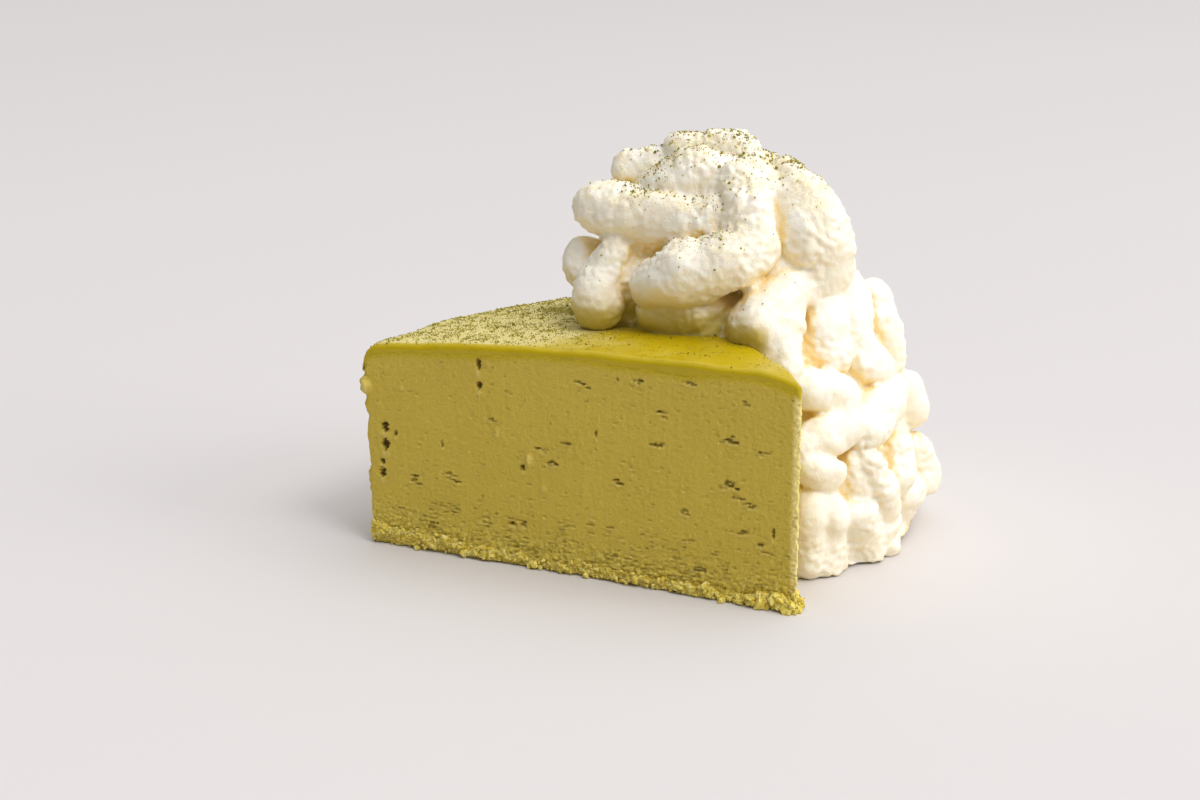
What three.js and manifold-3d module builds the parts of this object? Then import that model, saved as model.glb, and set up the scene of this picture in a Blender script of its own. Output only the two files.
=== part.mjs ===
// A slice of matcha cheesecake with piped whipped cream leaning on one of its two cut faces.
// Millimetres, +Z up. The origin is on the underside, below the middle of the slice. The tip of
// the slice points along -Y, the rim faces +Y, and the cream lies on the +X side.

import * as THREE from 'three';
import { mergeVertices } from 'three/addons/utils/BufferGeometryUtils.js';
import Module from 'manifold-3d';

const wasm = await Module();
wasm.setup();

// ---------------------------------------------------------------- driving dimensions

const CAKE_RADIUS = 114.3;        // half of a nine inch cake
const HALF_ANGLE = Math.PI / 8;   // an eighth of the cake, measured each way from its middle line
const TIP_TO_MIDDLE = 74;         // from the tip back to the origin
const TIP_BLUNT = 1.2;            // how far the knife-cut tip is worn back
const CRUMB_TIP = 0.4;            // the crumbs below it reach further

const CROWN_HEIGHT = 55.9;        // the highest part of the top
const SLUMP = 5.6;                // how far the top sinks towards the rim
const SLUMP_POWER = 3.5;
const TIP_DROOP = 2.4;            // the top also rounds down at the tip
const TIP_DROOP_REACH = 12;
const RIM_ROUND = 4;              // rounding where the top meets the rim

const GLAZE_THICKNESS = 2.5;
const GLAZE_WAVE = 0.35;
const GLAZE_DRIP = 0.9;           // a sag in the glaze's lower edge
const GLAZE_DRIP_AT = 28;         // its distance from the tip
const GLAZE_DRIP_WIDTH = 6;

const BASE_HEIGHT = 2.1;          // the crumb layer at the tip
const BASE_RISE = 1.6;            // how much thicker it grows on its way to the rim
const BASE_CORNER = 2.6;          // and how much more it climbs in the rim's corner
const BASE_CORNER_POWER = 12;
const BASE_JUT = 1.7;             // how far its crumbs stand out of the cut faces
const CRAG_DEPTH = 0.7;
const RIM_UNDERCUT = 1.6;         // how far the rim pulls in at the bottom
const UNDERCUT_HEIGHT = 12;
const RIM_WOBBLE = 0.35;

const SEAM = 0.35;                // the gap between pieces that touch

// The heap of cream is a rough cone: its radius at a few heights, about one upright axis.
const HEAP_AXIS = [33, -18];
const HEAP_PROFILE = [
  [0, 53], [16, 52], [28, 50], [38, 47], [48, 42.5], [60, 37], [70, 32], [85, 24], [95, 14], [104, 3],
];

const ROPE_SIDES = 8;
const CAP_RINGS = 2;
const ROPE_STEP = 8;              // the longest stretch between two rings of a rope
const LUMP_LENGTH = 6;            // cream swells and thins along a rope
const LUMP_DEPTH = 0.05;

// ---------------------------------------------------------------- materials

function food(color, roughness) {
  return new THREE.MeshStandardMaterial({ color, roughness, metalness: 0 });
}

const CRUMB = food(0x99832a, 0.95);
const CHEESECAKE = food(0xa38e3d, 0.75);
const GLAZE = food(0x95821e, 0.45);
const CREAM = food(0xf7ead1, 0.6);

// ---------------------------------------------------------------- heights and edges of the slice

const { clamp, lerp, smoothstep, degToRad } = THREE.MathUtils;

/** Height of the top at a distance from the tip. */
function topHeight(reach) {
  const slump = SLUMP * (reach / CAKE_RADIUS) ** SLUMP_POWER;
  const droop = TIP_DROOP * clamp(1 - reach / TIP_DROOP_REACH, 0, 1) ** 2;
  const past = clamp(reach - (CAKE_RADIUS - RIM_ROUND), 0, RIM_ROUND);
  const corner = RIM_ROUND - Math.sqrt(RIM_ROUND ** 2 - past ** 2);
  return CROWN_HEIGHT - slump - droop - corner;
}

/** Height of the glaze's underside. The side runs from -1 on one cut face to 1 on the other. */
function glazeUnderside(reach, side) {
  const wave = GLAZE_WAVE * Math.sin(reach / 7 + 2 * side);
  const drip = GLAZE_DRIP * Math.exp(-(((reach - GLAZE_DRIP_AT) / GLAZE_DRIP_WIDTH) ** 2));
  return topHeight(reach) - GLAZE_THICKNESS - wave - drip * Math.max(side, 0);
}

/** Height of the crumb layer's top. */
function crumbTop(reach, side) {
  const along = reach / CAKE_RADIUS;
  const bumps = 0.5 * Math.sin(reach / 5 + side) * Math.sin(reach / 13);
  return BASE_HEIGHT + BASE_RISE * along + BASE_CORNER * along ** BASE_CORNER_POWER + bumps;
}

/** Distance from the tip to the rim, by height: uneven, and pulled in at the bottom. */
function rimReach(side, height) {
  const undercut = RIM_UNDERCUT * clamp(1 - height / UNDERCUT_HEIGHT, 0, 1) ** 2;
  const wobble = RIM_WOBBLE * Math.sin(9 * side + height / 9);
  return CAKE_RADIUS - RIM_WOBBLE - undercut + wobble;
}

/** A rough crumbly relief between -1 and 1. */
function crumble(along, height) {
  const coarse = Math.sin(along / 1.9 + 1.4 * Math.sin(along / 4.3 + height));
  const fine = Math.sin(along / 0.8 + 2.6 * height);
  return 0.65 * coarse + 0.35 * fine;
}

/** How far the crumb layer stands out of its cut face, more towards the tip. */
function crumbJut(reach, height) {
  const nearTip = 1 - 0.5 * smoothstep(reach, 10, 60);
  return BASE_JUT * nearTip * 0.5 + CRAG_DEPTH * crumble(reach, height);
}

// ---------------------------------------------------------------- the layers of the slice

/**
 * A wedge-shaped layer: a box whose length, width and height are bent into the reach from the
 * tip, the swing between the cut faces, and the height between floor and ceiling.
 * grow makes it larger all round, for cutting its clearance out of the cream.
 */
function wedgeLayer({ steps, floor, ceiling, jut = () => 0, tip = TIP_BLUNT, spread = 1 }, grow = 0) {
  const layer = new THREE.BoxGeometry(1, 1, 1, ...steps);
  const place = layer.attributes.position;
  for (let i = 0; i < place.count; i += 1) {
    const along = 1 - (0.5 - place.getX(i)) ** spread;
    const side = 2 * place.getY(i);
    const up = place.getZ(i) + 0.5;
    const nominal = lerp(tip, CAKE_RADIUS, along);
    const height = lerp(floor(nominal, side) - grow, ceiling(nominal, side) + grow, up);
    const reach = lerp(tip - grow, rimReach(side, height) + grow, along);
    const bearing = Math.PI / 2 + side * HALF_ANGLE;
    const out = side * (grow + jut(nominal, height));
    const x = reach * Math.cos(bearing) - out * Math.sin(bearing);
    const y = reach * Math.sin(bearing) + out * Math.cos(bearing) - TIP_TO_MIDDLE;
    place.setXYZ(i, x, y, height);
  }
  return layer;
}

const CRUMB_LAYER = {
  steps: [44, 8, 2],
  floor: () => 0,
  ceiling: crumbTop,
  jut: crumbJut,
  tip: CRUMB_TIP,
};

const CHEESECAKE_LAYER = {
  steps: [20, 8, 4],
  floor: (reach, side) => crumbTop(reach, side) + SEAM,
  ceiling: (reach, side) => glazeUnderside(reach, side) - SEAM,
  spread: 1.5,
};

const GLAZE_LAYER = {
  steps: [20, 8, 1],
  floor: glazeUnderside,
  ceiling: topHeight,
  spread: 1.5,
};

// ---------------------------------------------------------------- the whipped cream

/** A point on the heap, by bearing in degrees and height, sunk under its skin by the inset. */
function onHeap(bearing, height, inset) {
  const next = HEAP_PROFILE.findIndex(([level]) => level >= height);
  const [highLevel, highRadius] = HEAP_PROFILE[Math.max(next, 1)];
  const [lowLevel, lowRadius] = HEAP_PROFILE[Math.max(next, 1) - 1];
  const radius = lerp(lowRadius, highRadius, (height - lowLevel) / (highLevel - lowLevel)) - inset;
  const turn = degToRad(bearing);
  return [HEAP_AXIS[0] + radius * Math.cos(turn), HEAP_AXIS[1] + radius * Math.sin(turn), height];
}

/** A round-ended rope of cream: a capsule bent along a smooth curve through the points. */
function rope(radius, points) {
  const path = new THREE.CatmullRomCurve3(points.map((point) => new THREE.Vector3(...point)));
  const length = path.getLength();
  const steps = Math.max(1, Math.ceil(length / ROPE_STEP));
  const frames = path.computeFrenetFrames(steps);
  const capsule = new THREE.CapsuleGeometry(radius, length, CAP_RINGS, ROPE_SIDES, steps);
  const place = capsule.attributes.position;
  for (let i = 0; i < place.count; i += 1) {
    const along = clamp(place.getY(i) / length + 0.5, 0, 1);
    const beyond = place.getY(i) - (along - 0.5) * length;
    const step = Math.round(along * steps);
    const swell = 1 + LUMP_DEPTH * Math.sin((along * length) / LUMP_LENGTH * Math.PI + radius);
    const spot = path.getPointAt(along)
      .addScaledVector(frames.normals[step], place.getX(i) * swell)
      .addScaledVector(frames.binormals[step], place.getZ(i) * swell * -1)
      .addScaledVector(frames.tangents[step], beyond);
    place.setXYZ(i, spot.x, spot.y, spot.z);
  }
  return capsule;
}

// The ropes that lie on the cake's top and make the summit: thickness, then the route.
const TOP_ROPES = [
  { radius: 7.3, route: [[5, -1, 82], [9, -8, 81], [13, -17, 80], [16, -25, 79]] },
  { radius: 6.9, route: [[8, -6, 69], [4, -7, 63], [2, -7, 59]] },
  { radius: 5.7, route: [[10, 3, 70], [9, 6, 66]] },
  { radius: 4.6, route: [[17, -6, 94], [16, -3, 92]] },
  { radius: 5.7, route: [[18, -15, 95], [15, -13, 93]] },
  { radius: 4.8, route: [[19, -19, 97], [26, -20, 97], [32, -22, 96]] },
  { radius: 6.6, route: [[15, -23, 91], [17, -28, 91], [20, -30, 89]] },
  {
    radius: 6.4,
    route: [[24, -32, 92], [22, -36, 84], [22, -39, 77], [16, -38, 72], [11, -31, 70], [6, -20, 67]],
  },
  { radius: 5.9, route: [[19, -37, 62], [13, -30, 58], [8, -20, 58]] },
  { radius: 6.8, route: [[27, -44, 66], [23, -45, 61], [23, -48, 53]] },
  { radius: 6.4, route: [[22, -42, 64], [18, -41, 57]] },
  { radius: 6.6, route: [[33, -29, 92], [36, -35, 89], [39, -40, 83], [38, -43, 76]] },
  { radius: 7, route: [[30, -38, 83], [31, -43, 76], [33, -46, 71]] },
];

// The folds that tumble down beside the tip: thickness, then bearings and heights on the heap.
const TIP_FOLDS = [
  { radius: 4, route: [[-60, 71], [-58, 67]] },
  { radius: 5.8, route: [[-90, 60], [-95, 54], [-98, 50]] },
  { radius: 4.8, route: [[-54, 60], [-78, 55], [-82, 50]] },
  { radius: 4.8, route: [[-82, 49], [-72, 45]] },
  { radius: 5.6, route: [[-43, 56], [-45, 44]] },
  { radius: 5.2, route: [[-104, 46], [-96, 41]] },
  { radius: 5.4, route: [[-66, 38], [-76, 33], [-84, 30]] },
  { radius: 5, route: [[-44, 36], [-43, 24]] },
  { radius: 4.6, route: [[-108, 35], [-97, 33]] },
  { radius: 4.8, route: [[-109, 26], [-103, 26]] },
  { radius: 5.8, route: [[-97, 24], [-89, 21]] },
  { radius: 4.6, route: [[-80, 24], [-72, 20]] },
  { radius: 5.4, route: [[-45, 18], [-43, 9]] },
  { radius: 5.2, route: [[-58, 30], [-62, 18]] },
  { radius: 5.2, route: [[-107, 16], [-106, 6]] },
  { radius: 6.2, route: [[-89, 11], [-88, 3]] },
  { radius: 4.4, route: [[-76, 9], [-72, 4]] },
  { radius: 4.6, route: [[-64, 7], [-60, 4]] },
];

// The rest of the heap is piped in tiers of slanting folds, each tier set between the last.
const TIERS = [
  { height: 8, radius: 8.6, from: -28, to: 96, step: 25 },
  { height: 25, radius: 8.2, from: -22, to: 104, step: 26 },
  { height: 42, radius: 8, from: -26, to: 110, step: 27 },
  { height: 59, radius: 7.6, from: -18, to: 176, step: 29 },
  { height: 74, radius: 7.2, from: -40, to: 160, step: 34 },
  { height: 85, radius: 6, from: -20, to: 150, step: 48 },
];
const FOLD_SLANT = 5;             // how far a fold's ends lie above and below its middle
const FOLD_SWING = 7;             // and how many degrees to either side
const END_TUCK = 1.25;            // the ends of a fold sink deeper into the heap than its middle

/** A fold of cream that lies on the heap: a rope through the bearings and heights of its route. */
function fold(radius, route) {
  const last = route.length - 1;
  return rope(radius, route.map(([bearing, height], i) => (
    onHeap(bearing, height, i === 0 || i === last ? radius * END_TUCK : radius)
  )));
}

/** One tier of slanting folds, no two of the same size, slant or height. */
function tierFolds({ height, radius, from, to, step }, tier) {
  const folds = [];
  const lean = tier % 2 === 0 ? 1 : -1;
  for (let bearing = from; bearing <= to; bearing += step) {
    const sway = Math.sin(bearing / 11 + 2.4 * tier);
    const size = radius * (1 + 0.1 * Math.sin(bearing / 7 + tier));
    const slant = lean * FOLD_SLANT * (1 + 0.7 * sway);
    const swing = FOLD_SWING * (1 - 0.4 * sway);
    const middle = height + 2 * sway;
    folds.push(fold(size, [
      [bearing - swing, middle + slant],
      [bearing, middle],
      [bearing + swing, middle - slant],
    ]));
  }
  return folds;
}

// The filling behind the ropes, as two egg shapes: middle, then radius level and upright.
const HEAP_CORES = [
  { middle: [35, -18, 0], level: 46, upright: 71 },
  { middle: [31, -18, 62], level: 21, upright: 32 },
];

function core({ middle, level, upright }) {
  return new THREE.SphereGeometry(1, 20, 12)
    .rotateX(Math.PI / 2)
    .scale(level, level, upright)
    .translate(...middle);
}

/** What the cream can't fill: everything below the surface that the slice stands on. */
function underTheFloor() {
  const size = 400;
  return new THREE.BoxGeometry(size, size, size).translate(0, 0, -size / 2);
}

// ---------------------------------------------------------------- joining and cutting

/** A closed mesh as a solid, with shared corners merged and flat-line triangles dropped. */
function toSolid(geometry) {
  const bare = geometry.clone();
  bare.deleteAttribute('normal');
  bare.deleteAttribute('uv');
  const merged = mergeVertices(bare);
  const corners = merged.index.array;
  const triVerts = [];
  for (let i = 0; i < corners.length; i += 3) {
    const [a, b, c] = corners.slice(i, i + 3);
    if (a !== b && b !== c && c !== a) {
      triVerts.push(a, b, c);
    }
  }
  return new wasm.Manifold(new wasm.Mesh({
    numProp: 3,
    vertProperties: merged.attributes.position.array,
    triVerts: Uint32Array.from(triVerts),
  }));
}

function toGeometry(solid) {
  const { vertProperties, triVerts } = solid.getMesh();
  const geometry = new THREE.BufferGeometry();
  geometry.setAttribute('position', new THREE.BufferAttribute(vertProperties, 3));
  geometry.setIndex(new THREE.BufferAttribute(triVerts, 1));
  return geometry;
}

/** The largest body of a solid, which leaves out loose scraps and fills sealed hollows. */
function largestBody(solid) {
  return solid.decompose().reduce((most, body) => (body.volume() > most.volume() ? body : most));
}

function whippedCream() {
  const geometries = [
    ...HEAP_CORES.map(core),
    ...TOP_ROPES.map(({ radius, route }) => rope(radius, route)),
    ...TIP_FOLDS.map(({ radius, route }) => fold(radius, route)),
    ...TIERS.flatMap(tierFolds),
  ];
  const heap = geometries.map(toSolid).reduce((all, one) => all.add(one));
  const cleared = [CRUMB_LAYER, CHEESECAKE_LAYER, GLAZE_LAYER]
    .map((layer) => toSolid(wedgeLayer(layer, SEAM)))
    .reduce((rest, layer) => rest.subtract(layer), heap);
  return toGeometry(largestBody(cleared.subtract(toSolid(underTheFloor()))));
}

// ---------------------------------------------------------------- the slice

function piece(name, geometry, material) {
  const mesh = new THREE.Mesh(geometry, material);
  mesh.name = name;
  return mesh;
}

const slice = new THREE.Group();
slice.add(
  piece('crumb_base', wedgeLayer(CRUMB_LAYER), CRUMB),
  piece('cheesecake', wedgeLayer(CHEESECAKE_LAYER), CHEESECAKE),
  piece('matcha_glaze', wedgeLayer(GLAZE_LAYER), GLAZE),
  piece('whipped_cream', whippedCream(), CREAM),
);

export default slice;
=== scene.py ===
"""A slice of matcha cheesecake with piped whipped cream, dressed over its plain solids.

Everything is in metres, with +Z up. The origin is on the underside of the slice, the tip of the
slice points along -Y, its rim faces +Y, and the cream leans on its +X side.
"""

import math
from itertools import islice

import bmesh
import bpy
import numpy as np
from bpy.props import FloatProperty, FloatVectorProperty, IntProperty, PointerProperty
from bpy.types import Operator, Panel, PropertyGroup
from mathutils import Matrix, Vector, noise
from mathutils.bvhtree import BVHTree


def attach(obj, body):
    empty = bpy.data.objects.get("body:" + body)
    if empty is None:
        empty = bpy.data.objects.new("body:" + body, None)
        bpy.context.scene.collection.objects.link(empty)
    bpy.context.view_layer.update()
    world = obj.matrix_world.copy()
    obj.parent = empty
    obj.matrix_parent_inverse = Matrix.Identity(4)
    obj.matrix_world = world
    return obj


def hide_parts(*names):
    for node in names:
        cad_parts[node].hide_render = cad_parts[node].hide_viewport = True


bl_info = {
    "name": "Matcha cheesecake slice",
    "version": (1, 0, 0),
    "blender": (4, 5, 0),
    "location": "View3D > Sidebar > Cheesecake",
    "description": "Builds a slice of matcha cheesecake with piped whipped cream",
    "category": "Add Mesh",
}

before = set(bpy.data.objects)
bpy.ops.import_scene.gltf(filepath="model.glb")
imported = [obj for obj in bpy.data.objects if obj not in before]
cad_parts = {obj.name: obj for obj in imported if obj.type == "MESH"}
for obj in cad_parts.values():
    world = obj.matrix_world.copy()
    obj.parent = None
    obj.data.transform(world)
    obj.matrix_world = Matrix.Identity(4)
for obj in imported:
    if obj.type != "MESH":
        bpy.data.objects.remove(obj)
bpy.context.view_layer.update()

MM = 0.001
QUARTER = math.pi / 2
UP = Vector((0, 0, 1))
DOWN = Vector((0, 0, -1))


# ---------------------------------------------------------------- sizes and colours


def paint(red, green, blue):
    """A colour from 0 to 255, as Blender keeps it."""
    shares = (red / 255, green / 255, blue / 255)
    linear = [s / 12.92 if s <= 0.04045 else ((s + 0.055) / 1.055) ** 2.4 for s in shares]
    return (*linear, 1.0)


def toned(shade, *shares):
    """A colour with its red, green and blue, or all three alike, scaled by shares."""
    scaled = np.array(shade[:3]) * (shares if len(shares) > 1 else shares[0])
    return (*scaled.tolist(), 1.0)


def length(name, description, millimetres):
    """A size that a user can change."""
    return FloatProperty(
        name=name, description=description, default=millimetres * MM, unit="LENGTH", precision=5
    )


def angle(name, description, degrees):
    """An angle that a user can change."""
    return FloatProperty(
        name=name, description=description, default=math.radians(degrees), subtype="ANGLE"
    )


def measure(name, description, default, most=1000):
    """A plain number from 0 up that a user can change."""
    return FloatProperty(name=name, description=description, default=default, min=0, max=most)


def whole(name, description, default):
    """A whole number that a user can change."""
    return IntProperty(name=name, description=description, default=default, min=0)


def colour(name, description, *shares):
    """A colour that a user can change."""
    return FloatVectorProperty(
        name=name, description=description, default=paint(*shares), subtype="COLOR", size=4,
        min=0, max=1,
    )


class SliceSizes(PropertyGroup):
    """The wedge of cheesecake."""

    cake_radius: length("Cake radius", "Half the width of the whole cake", 114.3)
    opening: angle("Opening", "Angle between the two cut faces", 45)
    tip_to_middle: length("Tip to middle", "From the tip back to the origin", 74)
    blunt: length("Blunt corners", "How far the upright corners are worn round", 1.5)
    crown_height: length("Crown height", "Height of the highest part of the top", 55.9)
    slump: length("Slump", "How far the top sinks towards the rim", 5.6)
    tip_droop: length("Tip droop", "How far the top rounds down at the tip", 2.4)
    rim_round: length("Rim rounding", "Rounding where the top meets the rim", 4)
    glaze_thickness: length("Glaze thickness", "Thickness of the green skin on top", 2.5)
    edge_round: length("Glaze edge", "Rounding of the glaze where the knife cut it", 1.5)
    base_height: length("Crumb height", "Thickness of the crumb layer at the tip", 2.1)
    base_jut: length("Crumb jut", "How far the crumbs stand out of the cut faces", 0.8)
    crumb_relief: length("Crumb relief", "Depth of the crumb layer's rough surface", 1.1)
    rim_relief: length("Rim relief", "Depth of the torn surface of the rim", 1.1)
    detail: length("Detail", "Spacing of the points on the cut faces", 0.25)
    seed: whole("Seed", "Changes the random pores and crumbs", 7)


class CreamSizes(PropertyGroup):
    """The heap of whipped cream."""

    detail: length("Detail", "Spacing of the points on the cream", 0.52)
    lump_height: length("Lump height", "Depth of the soft lumps", 1.3)
    curd_height: length("Curd height", "Depth of the small rough curds", 0.65)
    ridge_height: length("Ridge height", "Depth of the ridges across a rope", 0.2)
    crease_depth: length("Crease depth", "How deep the ropes part where they meet", 0.6)
    seed: whole("Seed", "Changes the random relief", 11)


class PowderSizes(PropertyGroup):
    """The powder on the glaze and on the cream."""

    grain: length("Grain radius", "Radius of a usual grain", 0.14)
    on_glaze: whole("On the glaze", "Grains on the glaze", 7500)
    on_cream: whole("On the cream", "Grains on the cream", 2200)
    seed: whole("Seed", "Changes where the grains fall", 5)


class FoodColours(PropertyGroup):
    """The colours of the food."""

    cheesecake: colour("Cheesecake", "The cut cheesecake", 219, 193, 76)
    # Also the colour of the painted highlight on the tip edge and on the pore lips.
    cheesecake_pale: colour("Pale flecks", "Pale flecks in the cheesecake", 246, 229, 150)
    # Painted shade inside the pores and the cracks near the base.
    painted_pore_shade: colour("Pores", "The inside of the pores", 104, 84, 24)
    glaze: colour("Glaze", "The green skin", 200, 175, 5)
    powder: colour("Powder film", "The glaze under fine powder", 216, 202, 134)
    grain_dark: colour("Dark grains", "The darkest powder grains", 124, 118, 34)
    grain_light: colour("Light grains", "The lightest powder grains", 196, 184, 74)
    crumb: colour("Crumbs", "The crumb layer", 220, 195, 62)
    crumb_pale: colour("Pale crumbs", "The lightest crumbs", 246, 231, 142)
    cream: colour("Cream", "The whipped cream", 253, 247, 236)
    # Painted green bounce light from the glaze and painted contact shadow, on the cream low down and
    # beside the glaze.
    cream_painted_bounce: colour("Cream by the glaze", "The whipped cream next to the glaze", 192, 174, 40)
    # Painted shade: blended onto the cream where it faces down.
    cream_shade: colour("Cream below", "The undersides of the whipped cream", 249, 227, 176)
    # Painted warm glow and shade deep in the creases between the ropes.
    cream_painted_crease_glow: colour("Cream in creases", "The whipped cream deep between ropes", 249, 216, 114)
    floor: colour("Floor", "The studio's floor", 211, 208, 209)


class StudioSizes(PropertyGroup):
    """The camera and the lights."""

    lens: measure("Lens", "Focal length in millimetres", 63.03)
    turn: angle("Turn", "Bearing that the camera looks along", 48)
    pitch: angle("Pitch", "How far the camera looks down", 16.16)
    roll: angle("Roll", "How far the camera leans over", 0.198)
    side_power: measure("Side light", "Power of the light on the right in watts", 37)
    front_power: measure("Front light", "Power of the light in front in watts", 46)
    sky: measure("Sky", "Strength of the light from all around", 0.06)
    overhead: measure("Overhead", "How much stronger the sky is overhead", 1.75)
    lean: measure("Lean", "How much stronger the sky is on the right", 1, most=1)


# ---------------------------------------------------------------- random relief


def rumple(points, size, seed=0):
    """Smooth random heights from about -1 to 1, with lumps about size across."""
    places = np.asarray(points) / size + 17.3 * seed
    return np.array([noise.noise(place) for place in places.tolist()])


def curds(points, size, seed=0):
    """Rounded lumps about size across: 1 in the middle of a lump and 0 where two meet."""
    places = np.asarray(points) / size + 17.3 * seed
    gaps = np.array([noise.voronoi(place)[0][:2] for place in places.tolist()])
    return np.clip(gaps[:, 1] - gaps[:, 0], 0, 1)


def over_rows(values, grid):
    """Values repeated to fill the rows of a grid, as one list."""
    return np.broadcast_to(values, grid.shape).ravel()


def ease(values, start, end):
    """From 0 before start to 1 after end, turning smoothly between them."""
    share = np.clip((np.asarray(values, float) - start) / (end - start), 0, 1)
    return share * share * (3 - 2 * share)


# ---------------------------------------------------------------- meshes


def add_object(name, data):
    """An object in the scene that shows a mesh, a light or a camera."""
    piece = bpy.data.objects.new(name, data)
    bpy.context.scene.collection.objects.link(piece)
    return piece


def set_attributes(mesh, attributes):
    """Give a mesh a number for each of its points under each attribute's name."""
    for name, values in attributes.items():
        layer = mesh.attributes.new(name, "FLOAT", "POINT")
        layer.data.foreach_set("value", np.asarray(values, np.float32))


def make_piece(name, points, faces, attributes=None):
    """A smooth mesh object."""
    mesh = bpy.data.meshes.new(name)
    mesh.from_pydata(np.asarray(points).tolist(), [], faces)
    mesh.validate()
    mesh.shade_smooth()
    set_attributes(mesh, attributes or {})
    return add_object(name, mesh)


def join_parts(parts):
    """The points and faces of several small meshes as one."""
    points, faces, first = [], [], 0
    for corners, sides in parts:
        points.append(corners)
        faces += [[first + corner for corner in side] for side in sides]
        first += len(corners)
    return np.concatenate(points), faces


def round_lump(detail):
    """The points and faces of a unit ball."""
    ball = bmesh.new()
    bmesh.ops.create_icosphere(ball, subdivisions=detail, radius=1)
    points = np.array([corner.co for corner in ball.verts])
    faces = [[corner.index for corner in face.verts] for face in ball.faces]
    ball.free()
    return points, faces


# A grain is an uneven octahedron.
GRAIN_CORNERS = np.vstack([np.eye(3), -np.eye(3)])[[0, 3, 1, 4, 2, 5]]
GRAIN_SIDES = np.array([
    (0, 2, 4), (2, 1, 4), (1, 3, 4), (3, 0, 4), (2, 0, 5), (1, 2, 5), (3, 1, 5), (0, 3, 5),
])
GRAIN_LIFT = 0.45  # of its radius, from what carries it to its middle


def grains(places, normals, radii, rng):
    """Small uneven grains, each sunk a little into what carries it, as points and faces."""
    number, corners = len(places), len(GRAIN_CORNERS)
    turns = np.linalg.qr(rng.normal(size=(number, 3, 3)))[0]
    turns[np.linalg.det(turns) < 0, :, 0] *= -1
    shapes = GRAIN_CORNERS[None] * rng.uniform(0.6, 1.25, (number, corners, 1))
    points = np.einsum("nij,nkj->nki", turns, shapes) * radii[:, None, None]
    points += (places + normals * radii[:, None] * GRAIN_LIFT)[:, None]
    faces = GRAIN_SIDES[None] + corners * np.arange(number)[:, None, None]
    return points.reshape(-1, 3), faces.reshape(-1, 3).tolist()


def tube_faces(rings, around):
    """The quads that join rings of points, and one face over each end."""
    number = np.arange(rings * around).reshape(rings, around)
    ahead = np.roll(number, -1, axis=1)
    quads = np.stack([number[:-1], ahead[:-1], ahead[1:], number[1:]], -1).reshape(-1, 4)
    return quads.tolist() + [number[0, ::-1].tolist(), number[-1].tolist()]


def points_of(mesh):
    """The points of a mesh and their normals."""
    points = np.empty(3 * len(mesh.vertices), np.float32)
    normals = np.empty_like(points)
    mesh.vertices.foreach_get("co", points)
    mesh.vertices.foreach_get("normal", normals)
    return points.reshape(-1, 3).astype(float), normals.reshape(-1, 3).astype(float)


def finish_piece(piece, slot, material, *nodes):
    """Give a piece its finish, its body and the solids that it stands for."""
    piece.data.materials.clear()
    piece.data.materials.append(material)
    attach(piece, "root")
    if nodes:
        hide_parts(*nodes)
    return piece


# ---------------------------------------------------------------- the form of the slice


def top_height(sizes, reach):
    """Height of the top at a distance from the tip."""
    slump = sizes.slump * (reach / sizes.cake_radius) ** 3.5
    droop = sizes.tip_droop * np.clip(1 - reach / (12 * MM), 0, 1) ** 2
    past = np.clip(reach - (sizes.cake_radius - sizes.rim_round), 0, sizes.rim_round)
    corner = sizes.rim_round - np.sqrt(sizes.rim_round**2 - past**2)
    return sizes.crown_height - slump - droop - corner


def glaze_underside(sizes, reach, side):
    """Height where the glaze meets the cheesecake. The side is 1 on the -X cut face."""
    wave = 0.35 * MM * np.sin(reach / (7 * MM) + 2 * side)
    drip = 0.9 * MM * np.exp(-(((reach - 28 * MM) / (6 * MM)) ** 2)) * np.maximum(side, 0)
    return top_height(sizes, reach) - sizes.glaze_thickness - wave - drip


def crumb_top(sizes, reach, side):
    """Height of the crumb layer's top."""
    along = reach / sizes.cake_radius
    bumps = 0.5 * MM * np.sin(reach / (5 * MM) + side) * np.sin(reach / (13 * MM))
    return sizes.base_height + 1.6 * MM * along + 2.6 * MM * along**12 + bumps


def rim_reach(sizes, side, height):
    """Distance from the tip to the rim, which pulls in at the bottom."""
    undercut = 1.6 * MM * np.clip(1 - height / (12 * MM), 0, 1) ** 2
    wobble = 0.35 * MM * np.sin(9 * side + height / (9 * MM))
    return sizes.cake_radius - 0.35 * MM - undercut + wobble


def travelled(line):
    """How far along a line of points each one lies."""
    return np.concatenate([[0], np.cumsum(np.linalg.norm(np.diff(line, axis=0), axis=1))])


def worn_wedge(sizes):
    """The wedge from above, its corners worn round: a closed line from the tip round by +X."""
    half = sizes.opening / 2
    step = 0.1 * MM
    out = np.arange(0, sizes.cake_radius, step)
    swing = np.arange(-half, half, step / sizes.cake_radius) + QUARTER
    reach = np.concatenate([out, np.full(len(swing), sizes.cake_radius), out[::-1]])
    bearing = np.concatenate(
        [np.full(len(out), QUARTER - half), swing, np.full(len(out), QUARTER + half)]
    )
    sharp = np.stack([reach * np.cos(bearing), reach * np.sin(bearing)], 1)
    window = round(sizes.blunt / step)
    worn = sum(np.roll(sharp, k, axis=0) for k in range(-window, window + 1))
    worn /= 2 * window + 1
    return np.vstack([worn, worn[:1]])


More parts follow.
